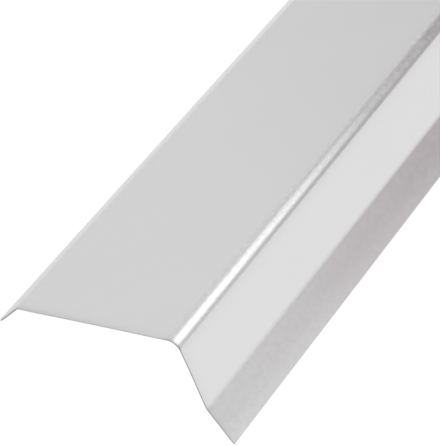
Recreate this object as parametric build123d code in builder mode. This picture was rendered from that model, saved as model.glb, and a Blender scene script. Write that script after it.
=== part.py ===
"""Roof edge trim: a length of zinc-coated steel sheet folded along four flats.

A narrow back lip, a wide top flange that lies on the roof deck, a rounded corner,
a face that hangs over the fascia board and a drip that kicks outwards below it.
The trim is built as it lies on a level floor, on its two free edges.
X runs across the section towards the drip, Y along the length, Z up. Sizes in mm.
"""
import os
from math import atan2, cos, degrees, radians, sin

from build123d import *

LENGTH = 2000.0
SHEET = 0.7

# Widths of the flats on the underside, each up to the sharp corner where it would meet the next.
LIP_WIDTH = 25.0
TOP_WIDTH = 112.0
FACE_WIDTH = 48.0
DRIP_WIDTH = 25.5

# How far each bend turns the sheet. The drip's bend turns back the other way.
LIP_BEND = 34.0
CORNER_BEND = 90.0
DRIP_BEND = 20.0

# Radius on the inner side of each bend, and of the sheared long edges. The drip's bend is the softest.
LIP_RADIUS = 4.0
CORNER_RADIUS = 7.0
DRIP_RADIUS = 13.0
EDGE_RADIUS = 0.2


def step(start, length, angle):
    """The point at a length from start, in the direction of an angle in degrees."""
    return (start[0] + length * cos(radians(angle)), start[1] + length * sin(radians(angle)))


# Directions along the sheet while the top flange is level, from the lip's edge to the drip's.
lip_way = LIP_BEND
face_way = -CORNER_BEND
drip_way = face_way + DRIP_BEND

# Underside corners, still with the top flange level.
lip_corner = (0.0, 0.0)
main_corner = step(lip_corner, TOP_WIDTH, 0)
drip_corner = step(main_corner, FACE_WIDTH, face_way)
lip_tip = step(lip_corner, -LIP_WIDTH, lip_way)
drip_tip = step(drip_corner, DRIP_WIDTH, drip_way)


def rounds(tip, inward):
    """Centres of a free edge's two small rounds, foot below and rim above, from its underside corner.

    The first angle of inward points along the sheet, away from the edge, and the second through the sheet.
    """
    inside = step(tip, EDGE_RADIUS, inward[0])
    return step(inside, EDGE_RADIUS, inward[1]), step(inside, SHEET - EDGE_RADIUS, inward[1])


lip_foot, lip_rim = rounds(lip_tip, (lip_way, lip_way + 90))
drip_foot, drip_rim = rounds(drip_tip, (drip_way + 180, drip_way + 90))

# The trim lies level on the floor when both feet are equally high.
tilt = -degrees(atan2(drip_foot[1] - lip_foot[1], drip_foot[0] - lip_foot[0]))


def turned(point):
    """A point of the level section, turned about the origin by the tilt."""
    c, s = cos(radians(tilt)), sin(radians(tilt))
    return (point[0] * c - point[1] * s, point[0] * s + point[1] * c)


centre_x = (turned(lip_rim)[0] + turned(drip_rim)[0]) / 2
floor_z = turned(lip_foot)[1] - EDGE_RADIUS


def rest(point):
    """Where a point of the level section is when the trim lies on the floor, centred across."""
    x, z = turned(point)
    return (x - centre_x, z - floor_z)


with BuildPart() as edge_trim:
    with BuildSketch(Plane.XZ) as section:
        with BuildLine() as outline:
            Polyline(rest(lip_tip), rest(lip_corner), rest(main_corner), rest(drip_corner), rest(drip_tip))
            for corner, radius in (
                (lip_corner, LIP_RADIUS),
                (main_corner, CORNER_RADIUS),
                (drip_corner, DRIP_RADIUS + SHEET),  # the underside is the outer side of this bend
            ):
                x, z = rest(corner)
                fillet(outline.vertices().sort_by_distance((x, z, 0))[0], radius=radius)
            offset(amount=SHEET, side=Side.LEFT)
        make_face()
        for tip in (lip_tip, drip_tip):
            x, z = rest(tip)
            fillet(section.vertices().sort_by_distance((x, 0, z))[:2], radius=EDGE_RADIUS)
    extrude(amount=LENGTH / 2, both=True)

edge_trim.part.label = "edge_trim"

if __name__ == "__main__":
    os.makedirs("parts", exist_ok=True)
    export_step(edge_trim.part, "parts/edge_trim.step")
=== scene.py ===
"""Dresses the roof edge trim: a length of folded zinc-coated sheet on a pale floor."""
from math import radians

import bpy
import numpy as np
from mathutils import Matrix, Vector


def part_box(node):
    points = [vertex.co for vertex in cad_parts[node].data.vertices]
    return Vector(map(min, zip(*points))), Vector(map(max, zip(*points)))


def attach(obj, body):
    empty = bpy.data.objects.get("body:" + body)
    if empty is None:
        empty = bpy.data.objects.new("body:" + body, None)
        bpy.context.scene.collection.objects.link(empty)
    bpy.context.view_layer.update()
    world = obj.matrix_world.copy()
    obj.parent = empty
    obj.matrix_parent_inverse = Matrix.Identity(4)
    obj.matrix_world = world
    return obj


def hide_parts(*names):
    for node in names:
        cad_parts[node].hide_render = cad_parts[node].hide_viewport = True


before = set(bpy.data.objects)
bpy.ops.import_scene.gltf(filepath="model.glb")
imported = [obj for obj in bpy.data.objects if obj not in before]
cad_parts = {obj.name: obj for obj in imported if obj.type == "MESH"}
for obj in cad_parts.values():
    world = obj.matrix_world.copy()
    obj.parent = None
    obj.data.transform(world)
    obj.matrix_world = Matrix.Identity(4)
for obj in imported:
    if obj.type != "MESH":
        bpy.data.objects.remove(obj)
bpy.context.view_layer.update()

# The section, in metres.
lowest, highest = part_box("edge_trim")
LENGTH = float(highest.y - lowest.y)
SHEET = 0.0007
EDGE_RADIUS = 0.0002  # of the sheared long edges
END_RADIUS = 0.00014  # of the two cut ends

# Flats and bends from the back lip to the drip: flat length to the sharp underside corner, then the
# angle that the sheet turns there and the underside radius. A bend that turns back is negative, and its
# underside is the outer side of the bend.
FLATS = (0.025, 0.112, 0.048, 0.0255)
TURNS = (radians(34), radians(90), radians(-20))
UNDERSIDE_RADII = (0.004, 0.007, 0.013 + SHEET)
LIP_BEND, TOP, CORNER, FACE, DRIP_BEND, DRIP = range(1, 7)  # the section's runs, of which 0 is the lip

# Fine relief, in metres. A wave has its run, its height, and its phase in each of the slow sines. A slow
# sine has its radians in a metre along the sheet, and its share.
WAVES = ((TOP, 0.00016, (0.4, 0.84, 0.16)), (FACE, 0.00006, (1.9, 3.99, 3.61)))
SLOW_SINES = ((5.3, 1.0), (11.7, 0.6), (23.0, 0.35))
DRIP_HOLLOW = 0.0003
CORNER_CLIP = 0.0022  # radius of the lip's two free corners
END_ROLL = (0.0003, 0.00016)  # how far the shear bent the cut ends down, at the lip's bend and the corner
END_REACH = 0.004  # how far from the cut that starts
EDGE_FADE = 0.006  # how far from the free edges the drop becomes whole

# Where the hand-sheared ends stray from square: places across the flattened sheet, and how far the cut
# falls short there, both in millimetres. It falls short where the value is positive.
CUT_PLACES = (0, 3, 8, 22, 40, 129, 133, 155, 184, 195, 208)
CUT_SHORT = (0.8, -0.3, -0.5, 0.0, -0.3, -0.5, 0.0, 0.4, 0.0, 0.3, 0.1)

# How fine the sheet's grid is: places across each run and the clipped corners, and rows along the sheet.
ACROSS_RUNS = (10, 8, 22, 28, 10, 12, 16)
ACROSS_CLIP = 7
ROWS_BETWEEN = 241
ROWS_AT_END = 16
END_STRETCH = 0.012  # metres beside each cut, where the rows are closer

# Masks on the sheet, with distances in metres. A band of painted shade has its strength and its reach.
PAST_BEND = 0.0004  # how far past its ends a bend's grain goes
SOFT_BEND = 0.3  # how much the drip's bend counts
END_SHADE = (1.0, 0.0028)
CORNER_SHADE = (0.7, 0.0035)
LIP_SHADE = (1.4, 0.008)
BEND_SHADE_AT_CUT = 0.35  # how much painted shade, as bare steel colour, a bend takes beside a cut
BEND_SHADE_AT_CUT_REACH = (0.0004, 0.0014)  # how far from the cut that is whole, and where it is gone


def section_runs():
    """Lengths and curvatures of the middle of the sheet, as alternating flats and bends.

    A bend of angle a takes r*tan(a/2) from the flats on both sides, r being its underside radius, and is
    an arc of length a*(r + t/2) where the underside is the inner side, or a*(r - t/2) where it is the
    outer.
    """
    cut = [r * np.tan(abs(a) / 2) for a, r in zip(TURNS, UNDERSIDE_RADII)]
    before, after = [0.0, *cut], [*cut, 0.0]
    lengths, bends = [], []
    for i, flat in enumerate(FLATS):
        lengths.append(flat - before[i] - after[i])
        bends.append(0.0)
        if i < len(TURNS):
            middle = UNDERSIDE_RADII[i] + np.sign(TURNS[i]) * SHEET / 2
            lengths.append(abs(TURNS[i]) * middle)
            bends.append(-np.sign(TURNS[i]) / middle)
    return np.array(lengths), np.array(bends)


def resting_place():
    """How far the top flange leans on the floor, and where the lip's sharp underside corner is, as x and z.

    The section is a chain of complex numbers x + iz from the lip's edge, each flat being its length times
    e^(i*angle). The small rounds of each edge have their centres one edge radius along the sheet from it,
    the foot's one radius above the underside and the rim's one below the outer side. The lean makes the
    feet equally high, and the rims are then equally far from the middle.
    """
    ways = np.exp(1j * (TURNS[0] - np.cumsum([0, *TURNS])))
    drip_tip = (FLATS * ways).sum()
    insides = np.array([EDGE_RADIUS * ways[0], drip_tip - EDGE_RADIUS * ways[-1]])
    feet = insides + EDGE_RADIUS * 1j * ways[[0, -1]]
    rims = insides + (SHEET - EDGE_RADIUS) * 1j * ways[[0, -1]]
    lean = -np.angle(feet[1] - feet[0])
    feet, rims = feet * np.exp(1j * lean), rims * np.exp(1j * lean)
    return lean, (-rims.real.mean(), EDGE_RADIUS - feet[0].imag)


RUNS, CURVATURE = section_runs()
STARTS = np.concatenate([[0.0], np.cumsum(RUNS)])
WIDTH = STARTS[-1]
LEAN, LIP_TIP = resting_place()


def ramp(value, low, high):
    """0 below low, 1 above high, and a smooth step 3t^2 - 2t^3 between."""
    t = np.clip((value - low) / (high - low), 0, 1)
    return t * t * (3 - 2 * t)


def sheet_point(s, n):
    """Place x, z and direction of the point at s along the flattened width and n above the sheet's middle.

    The direction turns at a steady rate in each bend, so within a run the way from its start is the chord
    ds*sin(h)/h at the start's direction plus h, h being half of curvature*ds. The point is n along the
    normal.
    """
    first = LEAN + TURNS[0]
    turned = np.concatenate([[0.0], np.cumsum(RUNS * CURVATURE)]) + first
    half = RUNS * CURVATURE / 2
    chord = RUNS * np.sinc(half / np.pi)
    x0 = np.concatenate([[0.0], np.cumsum(chord * np.cos(turned[:-1] + half))])
    z0 = np.concatenate([[0.0], np.cumsum(chord * np.sin(turned[:-1] + half))])
    run = np.clip(np.searchsorted(STARTS, s, side="right") - 1, 0, len(RUNS) - 1)
    ds = s - STARTS[run]
    h = CURVATURE[run] * ds / 2
    reach = ds * np.sinc(h / np.pi)
    way = turned[run] + 2 * h
    x = x0[run] + reach * np.cos(turned[run] + h) - n * np.sin(way)
    z = z0[run] + reach * np.sin(turned[run] + h) + n * np.cos(way)
    return (x + LIP_TIP[0] - SHEET / 2 * np.sin(first), z + LIP_TIP[1] + SHEET / 2 * np.cos(first), way)


def width_samples():
    """Places across the flattened width: close in the bends and the clipped corners, few on the flats."""
    parts = [np.linspace(STARTS[i], STARTS[i + 1], k, endpoint=False) for i, k in enumerate(ACROSS_RUNS)]
    clip = CORNER_CLIP * (1 - np.cos(np.linspace(0, np.pi / 2, ACROSS_CLIP)))
    s = np.sort(np.concatenate([clip, *parts]))
    rounded = EDGE_RADIUS * 1.01  # a little past each edge's own round, so that no face has zero size
    return s[(s > rounded) & (s < WIDTH - rounded)]


def outline():
    """The closed outline as (s, n) pairs, from the lip's edge over the outer side to the drip's and back.

    The outer side is n = t/2. Each free edge is a flat with a quarter round of the edge radius at both
    sides. The inner side mirrors the outer, so point i of the m lies across from point m - 1 - i.
    """
    quarter = np.linspace(0, np.pi / 2, 5)
    half = SHEET / 2
    lip_s = EDGE_RADIUS * (1 - np.sin(quarter))
    lip_n = half - EDGE_RADIUS * (1 - np.cos(quarter))
    flats = width_samples()
    s = np.concatenate([lip_s[::-1], flats, WIDTH - lip_s])
    n = np.concatenate([lip_n[::-1], np.full(len(flats), half), lip_n])
    return np.concatenate([s, s[::-1]]), np.concatenate([n, -n[::-1]])


def waviness(s, y):
    """How far the sheet stands off its plain section, in metres.

    On the top flange and the face it is a half sine across the flat times slow sines along the length, at
    most 0.3 mm on the one and 0.1 mm on the other. The drip is a half sine hollow all along, as its bend
    springs back. Near the cut ends the sheet drops by END_ROLL times the square of how much of END_REACH is
    used up. The drop goes from one value to the other between the lip's bend and the corner, and fades out
    at the free edges.
    """
    def bulge(run):
        """A half sine across a run of the section, and 0 outside it."""
        return np.sin(np.pi * np.clip((s - STARTS[run]) / RUNS[run], 0, 1))

    rise = np.broadcast_to(-DRIP_HOLLOW * bulge(DRIP), np.broadcast(s, y).shape)
    for run, height, phases in WAVES:
        along = sum(share * np.sin(y * rate + phase) for (rate, share), phase in zip(SLOW_SINES, phases))
        rise = rise + height * bulge(run) * along
    near = np.clip(1 - (LENGTH / 2 - np.abs(y)) / END_REACH, 0, 1)
    roll = np.interp(s, (STARTS[TOP], STARTS[CORNER]), END_ROLL)
    return rise - roll * near**2 * ramp(s, 0, EDGE_FADE) * ramp(WIDTH - s, 0, EDGE_FADE)


def folded_sheet():
    """The trim's closed surface: the outline carried along Y, drawn in by a quarter round at each end.

    Row y of the grid is the outline at that place, lifted off its flat by the waviness. The last rows
    shrink the outline by r*(1 - cos) while y goes r*sin further, and four-sided faces across the sheet
    close the ends. Each line along the sheet is then scaled so that its ends fall short by CUT_SHORT, and
    at the lip's free corners by R*(1 - sqrt(1 - u^2)) more, u being 1 - s/R and R the clip's radius.
    Gives the points, the faces, each point's place (s, y) on the flattened sheet, and its distance from the
    nearer cut end, taken before the ends fall short.
    """
    s, n = outline()
    m = len(s)
    quarter = np.linspace(0, np.pi / 2, 4)[1:]
    near_cut = LENGTH / 2 - END_RADIUS - END_STRETCH * np.linspace(0, 1, ROWS_AT_END) ** 2
    middle = np.linspace(-near_cut[-1], near_cut[-1], ROWS_BETWEEN)[1:-1]
    body = np.concatenate([-near_cut, middle, near_cut[::-1]])
    tail = LENGTH / 2 - END_RADIUS + END_RADIUS * np.sin(quarter)
    drawn = END_RADIUS * (1 - np.cos(quarter))
    y = np.concatenate([-tail[::-1], body, tail])[:, None]
    inset = np.concatenate([drawn[::-1], np.zeros(len(body)), drawn])[:, None]
    ss = WIDTH / 2 + (s - WIDTH / 2) * (1 - 2 * inset / WIDTH)
    x, z, way = sheet_point(ss, n * (1 - 2 * inset / SHEET))
    rise = waviness(ss, y)
    from_end = np.broadcast_to(LENGTH / 2 - np.abs(y), ss.shape)
    from_corner = 1 - np.clip(ss / CORNER_CLIP, 0, 1)
    short = np.interp(ss * 1000, CUT_PLACES, CUT_SHORT) / 1000
    y = y * (1 - (short + CORNER_CLIP * (1 - np.sqrt(1 - from_corner**2))) / (LENGTH / 2))
    points = np.stack([x - rise * np.sin(way), y, z + rise * np.cos(way)], axis=-1).reshape(-1, 3)

    k, i = np.arange(len(y) - 1)[:, None] * m, np.arange(m)
    j = (i + 1) % m
    sides = np.stack([k + i, k + j, k + m + j, k + m + i], axis=-1).reshape(-1, 4)
    a = np.arange(m // 2 - 1)
    cap = np.stack([a, a + 1, m - a - 2, m - a - 1], axis=-1)
    last = (len(y) - 1) * m
    faces = np.concatenate([sides, cap[:, ::-1], cap + last])
    return points, faces.tolist(), ss.ravel(), y.ravel(), from_end.ravel()


def bend_mask(s):
    """How much a point lies in a bend: 1 in the lip's bend and the corner, less in the soft drip's bend.

    u goes from 1 at the middle of a bend to 0 just past its ends, and the mask is a smooth step of u from 0
    to a quarter.
    """
    mask = np.zeros(len(s))
    for run, much in ((LIP_BEND, 1.0), (CORNER, 1.0), (DRIP_BEND, SOFT_BEND)):
        u = 1 - np.abs(s - (STARTS[run] + STARTS[run + 1]) / 2) / (RUNS[run] / 2 + PAST_BEND)
        mask = np.maximum(mask, much * ramp(u, 0.0, 0.25))
    return mask


def shade_mask(s, from_end):
    """Painted shade in bands, the strongest of three that each fall off as strength*e^(-distance/reach).

    One lies along the cut ends, one along the line where the corner meets the face, with a shorter reach on
    the face, and a wider one along the cut ends of the lip.
    """
    def fading(shade, distance):
        """A band of painted shade at a distance from the line that it lies along."""
        strength, reach = shade
        return strength * np.exp(-distance / reach)

    from_face = np.abs(s - STARTS[FACE] + 0.0002) * np.where(s > STARTS[FACE], 1.3, 1.0)
    on_lip = 1 - ramp(s, STARTS[LIP_BEND] - 0.004, STARTS[TOP])
    ends_and_corner = np.maximum(fading(END_SHADE, from_end), fading(CORNER_SHADE, from_face))
    return np.maximum(ends_and_corner, fading(LIP_SHADE, from_end) * on_lip)


def cut_mask(s, from_end, bend):
    """Bare steel: 1 on the rounds of the cut ends and the free edges, and less on a bend beside a cut,
    where the bare steel colour is painted shade.
    """
    rounds = 1 - ramp(from_end, END_RADIUS * 0.3, END_RADIUS)
    # Painted shade: bare steel colour on the bends beside a cut, which darkens the end of the corner's
    # highlight.
    bend_shade_at_cut = BEND_SHADE_AT_CUT * bend * (1 - ramp(from_end, *BEND_SHADE_AT_CUT_REACH))
    edges = ramp(np.abs(s - WIDTH / 2), WIDTH / 2 - EDGE_RADIUS, WIDTH / 2 - EDGE_RADIUS * 0.5)
    return np.maximum(np.maximum(rounds, bend_shade_at_cut), edges)


def mesh_piece(name, points, faces, place, masks):
    """A smooth mesh object with a UV map of the flattened sheet, in metres, and a named mask per point."""
    mesh = bpy.data.meshes.new(name)
    mesh.from_pydata(points, [], faces)
    mesh.polygons.foreach_set("use_smooth", np.ones(len(mesh.polygons), dtype=bool))
    corner = np.empty(len(mesh.loops), dtype=np.int32)
    mesh.loops.foreach_get("vertex_index", corner)
    flat = mesh.uv_layers.new(name="flat_sheet")
    flat.data.foreach_set("uv", np.stack(place, axis=-1)[corner].ravel())
    for mask, values in masks.items():
        mesh.attributes.new(mask, "FLOAT", "POINT").data.foreach_set("value", values.astype(np.float32))
    mesh.update()
    piece = bpy.data.objects.new(name, mesh)
    bpy.context.scene.collection.objects.link(piece)
    return piece


class Wire:
    """An output socket in a node tree. Sums, differences and products on it add Math nodes."""

    def __init__(self, tree, out=None):
        self.tree, self.out = tree, out

    def node(self, kind, settings=None, inputs=None, out=0):
        """Adds a node, applies its settings, then gives its sockets their values or links."""
        made = self.tree.nodes.new(kind)
        for key, value in (settings or {}).items():
            setattr(made, key, value)
        for key, value in (inputs or {}).items():
            if isinstance(value, Wire):
                self.tree.links.new(value.out, made.inputs[key])
            else:
                made.inputs[key].default_value = value
        return Wire(self.tree, made.outputs[out])

    def other(self, out):
        """Another output of the node that this one belongs to."""
        return Wire(self.tree, self.out.node.outputs[out])

    def math(self, operation, *values, clamp=False):
        """A Math node on values and wires."""
        settings = {"operation": operation, "use_clamp": clamp}
        return self.node("ShaderNodeMath", settings, dict(enumerate(values)))

    def __add__(self, other):
        return self.math("ADD", self, other)

    def __sub__(self, other):
        return self.math("SUBTRACT", self, other)

    def __rsub__(self, other):
        return self.math("SUBTRACT", other, self)

    def __mul__(self, other):
        return self.math("MULTIPLY", self, other)

    __radd__ = __add__
    __rmul__ = __mul__

    def rise(self, low, high):
        """0 below low, 1 above high, and a smooth step between."""
        kind = {"interpolation_type": "SMOOTHSTEP"}
        return self.node("ShaderNodeMapRange", kind, {"Value": self, "From Min": low, "From Max": high})

    def fall(self, low, high):
        """1 below low, 0 above high, and a smooth step between."""
        return 1 - self.rise(low, high)

    def band(self, low, high, soft):
        """1 between low and high, falling to 0 over soft outside them."""
        return self.rise(low - soft, low) * self.fall(high, high + soft)

    def swing(self, much):
        """A pattern from 0 to 1 as a change about none, which spans much from end to end."""
        return (self - 0.5) * much


def colour_mix(factor, first, second):
    """A Mix node on colours. A bare tuple is a colour, and a Wire a link."""
    return factor.node("ShaderNodeMix", {"data_type": "RGBA"}, {0: factor, 6: first, 7: second}, out=2)


def new_material(name):
    """An empty node material, and the Wire that its nodes start from."""
    material = bpy.data.materials.new(name)
    material.use_nodes = True
    material.node_tree.nodes.clear()
    return material, Wire(material.node_tree)


def finish_tree(start, shader, kind="ShaderNodeOutputMaterial"):
    """Links a shader to a new output node."""
    out = start.tree.nodes.new(kind)
    start.tree.links.new(shader.out, out.inputs["Surface"])


WHITE = (1, 1, 1, 1)
ZINC = (0.737, 0.735, 0.737, 1)
BARE_STEEL = (0.30, 0.295, 0.29, 1)
EDGE_TINT = (0.80, 0.80, 0.80, 1)  # of reflections at a flat angle
FLOOR_GREY = (0.86, 0.86, 0.86, 1)
FLOOR_GLOW = 1.055
GLOW_SHARE = 0.93  # the rest of the floor that is seen is grey and takes shadow
WARM_WHITE = (1.0, 0.925, 0.94, 1)

# How bright the light is on the lip's side, on the drip's side, in the box above, and behind the camera,
# both level and how much more straight up there.
LEFT_LEVEL = 0.888
RIGHT_LEVEL = 0.83
BOX_LEVEL = 1.04
SKY_LEVEL, SKY_MORE = 0.62, 0.33

HANDLING_AND_SHADE = (0.03, 0.22)  # metres from the ends where handling marks, and the lip's painted shade, are whole, and where they are gone


def zinc_sheet():
    """Zinc-coated steel: small soft spangles, faint rolling lines, grainier bends and darker cut edges,
    with painted shade beside the cuts, the corner and the drip's bend, and painted light on the lip and the
    drip.
    """
    material, start = new_material("zinc_sheet")
    flat = start.node("ShaderNodeUVMap", {"uv_map": "flat_sheet"}, out="UV")
    across = start.node("ShaderNodeSeparateXYZ", {}, {"Vector": flat}, out="X")
    along = across.other("Y")

    def mask(name):
        """One of the piece's own masks."""
        return start.node("ShaderNodeAttribute", {"attribute_name": name}, out="Fac")

    def noise(cells_across, cells_along, detail, roughness=0.5):
        """Noise on the flattened sheet, with its cells in a metre across and along it."""
        scale = (cells_across, cells_along, 1)
        place = start.node("ShaderNodeMapping", {}, {"Vector": flat, "Scale": scale})
        inputs = {"Vector": place, "Scale": 1.0, "Detail": detail, "Roughness": roughness}
        return start.node("ShaderNodeTexNoise", {"noise_dimensions": "2D"}, inputs, out="Fac")

    bend, shade, cut = mask("bend"), mask("shade"), mask("cut")
    soft_cells = {"voronoi_dimensions": "2D", "feature": "SMOOTH_F1"}
    cells = start.node("ShaderNodeTexVoronoi", soft_cells, {"Vector": flat, "Scale": 420.0}, out="Color")
    spangle = start.node("ShaderNodeSeparateColor", {}, {"Color": cells}, out="Red")
    grain = noise(1600, 1600, detail=3.0)
    cloud = noise(22, 22, detail=3.0)
    rolling = noise(900, 6, detail=2.0)
    crazing = noise(1000, 300, detail=3.0, roughness=0.65)
    mottle = noise(240, 240, detail=5.0, roughness=0.75)
    handling_and_shade = start.math("ABSOLUTE", along).rise(LENGTH / 2 - HANDLING_AND_SHADE[1], LENGTH / 2 - HANDLING_AND_SHADE[0])

    # What each place does to the brightness: the coating's crazing and mottle, and painted shade and
    # painted light.
    crazed = 1 - bend * crazing.swing(0.28)
    # Painted shade beside the cut ends, along the lip's ends and where the corner meets the face.
    shaded = 1 - shade * (0.6 + cloud * 0.8) * 0.065
    lip = across.fall(STARTS[LIP_BEND], STARTS[TOP])
    # Painted light on the lip: lighter towards its free edge, darker towards its bend and near the cut
    # ends.
    painted_lip_light = 1 - lip * (handling_and_shade * 0.04 - 0.045 + across.rise(0.002, 0.020) * 0.075)
    # Painted shade: a darker line along the middle of the drip's bend.
    painted_drip_bend_shade = 1 - across.band(STARTS[DRIP_BEND] + 0.0018, STARTS[DRIP_BEND] + 0.0028, 0.0016) * 0.06
    drip = across.rise(STARTS[DRIP_BEND], STARTS[DRIP])
    # Painted sheen: the outer 16 mm of the drip is made up to a tenth lighter. The mottle is the drip's
    # own.
    outer = across.rise(WIDTH - 0.016, WIDTH)
    drip_mottle_and_sheen = 1 + drip * (mottle.swing(0.015 + handling_and_shade * 0.20) + outer * 0.10)
    tone = 1 + spangle.swing(0.010) + cloud.swing(0.03) + rolling.swing(0.014) + grain.swing(0.008)
    tone = tone * crazed * shaded * painted_lip_light * painted_drip_bend_shade * drip_mottle_and_sheen

    # The corner is painted a little cooler just before the face, a painted tint of the dark reflection
    # there. A colour can't come from a Math node, so the tone becomes a near grey that multiplies the zinc.
    painted_cool_tint = across.band(STARTS[FACE] - 0.0040, STARTS[FACE] - 0.0008, 0.0020)
    channels = {"Red": tone * (1 - painted_cool_tint * 0.012), "Green": tone, "Blue": tone * (1 - painted_cool_tint * 0.004)}
    grey = start.node("ShaderNodeCombineColor", {}, channels)
    product = {"data_type": "RGBA", "blend_type": "MULTIPLY"}
    zinc = start.node("ShaderNodeMix", product, {0: 1.0, 6: ZINC, 7: grey}, out=2)

    # The shear smeared zinc over most of the cut on the top flange.
    top = (1 - lip) * across.fall(STARTS[CORNER] - 0.006, STARTS[CORNER] + 0.006)
    base = colour_mix(cut, zinc, colour_mix(top * 0.6, BARE_STEEL, zinc))

    rough = 0.20 + spangle.swing(0.05) + rolling.swing(0.05) + cloud.swing(0.06)
    rough = rough + bend * crazing * 0.03 + cut * 0.22
    height = spangle * 0.25 + grain * 0.5 + rolling * 0.4 + bend * crazing * 0.6
    normal = start.node("ShaderNodeBump", {}, {"Strength": 0.04, "Distance": 0.00004, "Height": height})
    metal = {"Base Color": base, "Metallic": 1.0, "Specular Tint": EDGE_TINT}
    metal |= {"Roughness": rough, "Normal": normal}
    finish_tree(start, start.node("ShaderNodeBsdfPrincipled", {}, metal))
    return material


def pale_floor():
    """A white floor as the camera and the metal see it, which keeps a part of the trim's soft shadow."""
    material, start = new_material("pale_floor")
    camera_ray = start.node("ShaderNodeLightPath", out="Is Camera Ray")
    glossy_ray = camera_ray.other("Is Glossy Ray")
    through_ray = camera_ray.other("Is Transmission Ray")
    seen = start.math("ADD", camera_ray + glossy_ray, through_ray, clamp=True)
    matte = start.node("ShaderNodeBsdfDiffuse", {}, {"Color": FLOOR_GREY})
    white = start.node("ShaderNodeEmission", {}, {"Color": WHITE, "Strength": FLOOR_GLOW})
    mixed = start.node("ShaderNodeMixShader", {}, {0: seen * GLOW_SHARE, 1: matte, 2: white})
    finish_tree(start, mixed)
    return material


def studio_world():
    """Soft light from all round: a bright box overhead, and a dimmer, warmer end of the room beyond it.

    turn is a direction's angle about the Y axis, in degrees: 0 straight up, 90 level on the drip's side.
    depth is its part along +Y, away from the camera. A level is how bright the light is, where 1 is white.
    """
    world = bpy.data.worlds.new("soft_studio")
    bpy.context.scene.world = world
    world.use_nodes = True
    world.cycles.sampling_method = "NONE"  # the light is so even that the surfaces' own rays find it best
    world.node_tree.nodes.clear()
    start = Wire(world.node_tree)
    way = start.node("ShaderNodeTexCoord", out="Generated")
    x = start.node("ShaderNodeSeparateXYZ", {}, {"Vector": way}, out="X")
    depth, up = x.other("Y"), x.other("Z")
    turn = start.math("ARCTAN2", x, up) * (180 / np.pi)

    # The lip's side, which the top flange shows, dims towards the far end, most where it is high, and has a
    # faint dark patch beside the box.
    left = LEFT_LEVEL + depth.rise(0.47, 0.53) * 0.020
    left = left - depth.rise(0.49, 0.70) * (0.02 + turn.rise(-76, -66) * 0.085)
    left = left - turn.rise(-66, -50) * turn.fall(-25, -5) * depth.fall(0.54, 0.60) * 0.04

    # The drip's side, which the drip and the corner show, dims more, and is brighter just above the floor.
    high = turn.fall(35, 70)
    right = RIGHT_LEVEL + high * 0.03
    right = right - depth.rise(0.495, 0.66) * (1 - high) * 0.315 - depth.rise(0.530, 0.66) * high * 0.535
    right = right + turn.rise(78, 90) * 0.09 + turn.rise(78, 85) * depth.rise(0.545, 0.575) * 0.08

    # The bright box makes the line along the corner.
    box = turn.rise(-16, 19) * turn.fall(39, 65) * depth.fall(0.560, 0.626) * depth.rise(0.36, 0.44)
    box = box * BOX_LEVEL * (1 - depth.fall(0.50, 0.56) * 0.05)

    # All that is ahead of the camera, and a plain sky behind it.
    over = turn.rise(-42, 14)
    ahead = depth.rise(0.25, 0.42)
    sky = SKY_LEVEL + up.rise(0, 1) * SKY_MORE
    level = (left * (1 - over) + right * over + box) * ahead + sky * (1 - ahead)

    # The far end is warmer, and so is what is low on the drip's side.
    far = start.math("MAXIMUM", depth.rise(0.605, 0.645), turn.rise(60, 72) * depth.rise(0.552, 0.560))
    tint = colour_mix(far * (0.2 + over * 0.8), WHITE, WARM_WHITE)
    room = start.node("ShaderNodeBackground", {}, {"Color": tint, "Strength": level})
    white = start.node("ShaderNodeBackground", {}, {"Color": WHITE, "Strength": 1.0})
    camera_ray = start.node("ShaderNodeLightPath", out="Is Camera Ray")
    seen = start.node("ShaderNodeMixShader", {}, {0: camera_ray, 1: room, 2: white})
    finish_tree(start, seen, "ShaderNodeOutputWorld")


def trim_piece():
    """The dressed sheet, which stands for the trim's solid."""
    points, faces, s, y, from_end = folded_sheet()
    bend = bend_mask(s)
    masks = {"bend": bend, "shade": shade_mask(s, from_end), "cut": cut_mask(s, from_end, bend)}
    piece = mesh_piece("trim_sheet", points, faces, (s, y), masks)
    piece.data.materials.append(zinc_sheet())
    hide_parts("edge_trim")
    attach(piece, "root")


def floor():
    """A level square under the trim, too wide for its edges to show."""
    half = 30.0
    corners = [(-half, -half, 0), (half, -half, 0), (half, half, 0), (-half, half, 0)]
    mesh = bpy.data.meshes.new("floor")
    mesh.from_pydata(corners, [], [(0, 1, 2, 3)])
    plane = bpy.data.objects.new("floor", mesh)
    bpy.context.scene.collection.objects.link(plane)
    plane.data.materials.append(pale_floor())


CAMERA_PLACE = (0.405314, -1.529788, 0.887374)
CAMERA_WAY = (-0.3543, 0.5563, -0.7517)
LENS = 166.016  # millimetres, as is the sensor's width


def camera():
    """The photograph's view of the near end, from in front, to the right and above."""
    data = bpy.data.cameras.new("camera")
    data.sensor_width = 36.0
    data.lens = LENS
    data.clip_start, data.clip_end = 0.05, 100.0
    view = bpy.data.objects.new("camera", data)
    bpy.context.scene.collection.objects.link(view)
    view.location = CAMERA_PLACE
    view.rotation_euler = Vector(CAMERA_WAY).to_track_quat("-Z", "Y").to_euler()
    bpy.context.scene.camera = view


trim_piece()
floor()
studio_world()
camera()
bpy.context.scene.view_settings.view_transform = "Standard"
